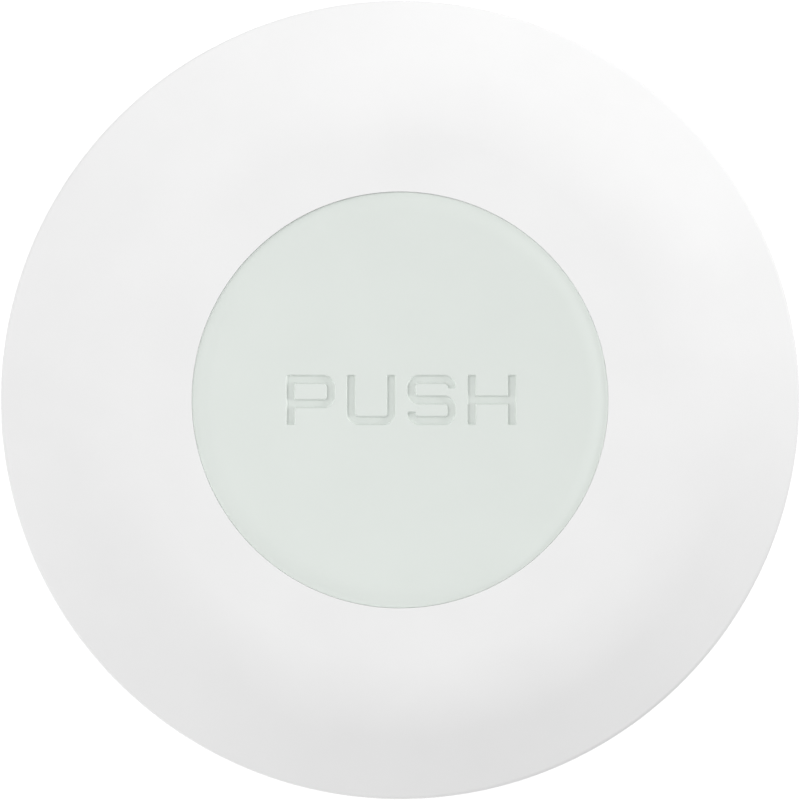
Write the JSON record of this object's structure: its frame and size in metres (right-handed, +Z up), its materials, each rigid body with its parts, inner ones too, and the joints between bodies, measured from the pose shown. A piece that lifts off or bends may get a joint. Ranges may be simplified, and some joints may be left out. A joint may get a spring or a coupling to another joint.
{
  "type": "water leak sensor",
  "caption": "Round battery-powered water leak sensor: domed white cover, dished press disc that works a switch, sealed base on metal probes, battery door that twists out below.",
  "frame": {"origin": "on the floor, under the middle of the sensor, at the height of the probe tips", "axes": "+Z up, out through the press disc; +Y the way the lettering on the disc points up; +X to the reader's right"},
  "size_m": [0.08, 0.08, 0.025],
  "materials": {
    "cover_white": "fine satin moulded",
    "press_pad": "matt silicone, pale grey-green",
    "inner_white": "moulded",
    "spring_steel": "bright",
    "black_seal": "matt",
    "clear_pipe": "clear moulded",
    "base_white": "fine spark texture",
    "zinc_screw": "zinc plated",
    "dark_foam": "closed-cell foam",
    "battery_steel": "nickel plated",
    "nickel_strip": "nickel plated",
    "board_green": "solder mask",
    "board_blue": "solder mask",
    "black_plastic": "moulded",
    "tin_can": "tinned",
    "copper": "copper wire",
    "capacitor_yellow": "moulded",
    "ferrite": "sintered",
    "capacitor_tan": "ceramic",
    "led_clear": "clear lens",
    "brass": "rolled sheet",
    "membrane": "woven membrane",
    "probe_steel": "polished stainless",
    "probe_gold": "gold plated"
  },
  "bodies": {
    "housing": {"top_cover": "cover_white", "return_spring": "spring_steel", "spring_washer": "spring_steel", "stem_seal": "black_seal", "light_pipe": "clear_pipe", "case_seal": "black_seal", "base": "base_white", "case_screws": "zinc_screw", "coin_battery": "battery_steel", "contact_negative": "nickel_strip", "contact_positive": "nickel_strip", "circuit_board": "board_green", "board_screws": "zinc_screw", "switch_body": "black_plastic", "switch_frame": "nickel_strip", "radio_board": "board_blue", "radio_shield": "tin_can", "antenna_coil": "copper", "controller_chip": "black_plastic", "crystal": "tin_can", "storage_capacitor": "capacitor_yellow", "buzzer_coil": "ferrite", "small_components": "capacitor_tan", "status_led": "led_clear", "buzzer_case": "black_plastic", "buzzer_disc": "brass", "buzzer_pins": "tin_can", "buzzer_gasket": "dark_foam", "port_membrane": "membrane", "probe_1": "probe_steel", "probe_seal_1": "black_seal", "probe_clip_1": "spring_steel", "probe_spring_1": "probe_gold", "probe_pad_1": "probe_gold", "probe_2": "probe_steel", "probe_seal_2": "black_seal", "probe_clip_2": "spring_steel", "probe_spring_2": "probe_gold", "probe_pad_2": "probe_gold", "probe_3": "probe_steel", "probe_seal_3": "black_seal", "probe_clip_3": "spring_steel", "probe_spring_3": "probe_gold", "probe_pad_3": "probe_gold"},
    "button": {"push_pad": "press_pad", "button_carrier": "inner_white", "stem_clip": "spring_steel"},
    "plunger": {"switch_plunger": "black_plastic"},
    "door_ring": {"door_seal": "black_seal"},
    "door": {"battery_door": "base_white", "battery_pad": "dark_foam"}
  },
  "joints": [
    {"name": "button_press", "type": "slide", "parent": "housing", "child": "button", "axis": [0, 0, -1], "range_m": [0, 0.0008], "stiffness_N_per_m": 900, "springref_m": -0.0015, "deforming": ["return_spring"]},
    {"name": "switch_press", "type": "slide", "parent": "housing", "child": "plunger", "axis": [0, 0, -1], "range_m": [0, 0.0008]},
    {"name": "door_drop", "type": "slide", "parent": "housing", "child": "door_ring", "axis": [0, 0, -1], "range_m": [0, 0.00635]},
    {"name": "door_turn", "type": "hinge", "parent": "door_ring", "child": "door", "pos_m": [0, 0, 0], "axis": [0, 0, -1], "range_deg": [0, 126]}
  ],
  "couplings": [
    {"joint": "switch_press", "follows": "button_press", "ratio": 1},
    {"joint": "door_drop", "follows": "door_turn", "m_per_rad": 0.0028648}
  ]
}
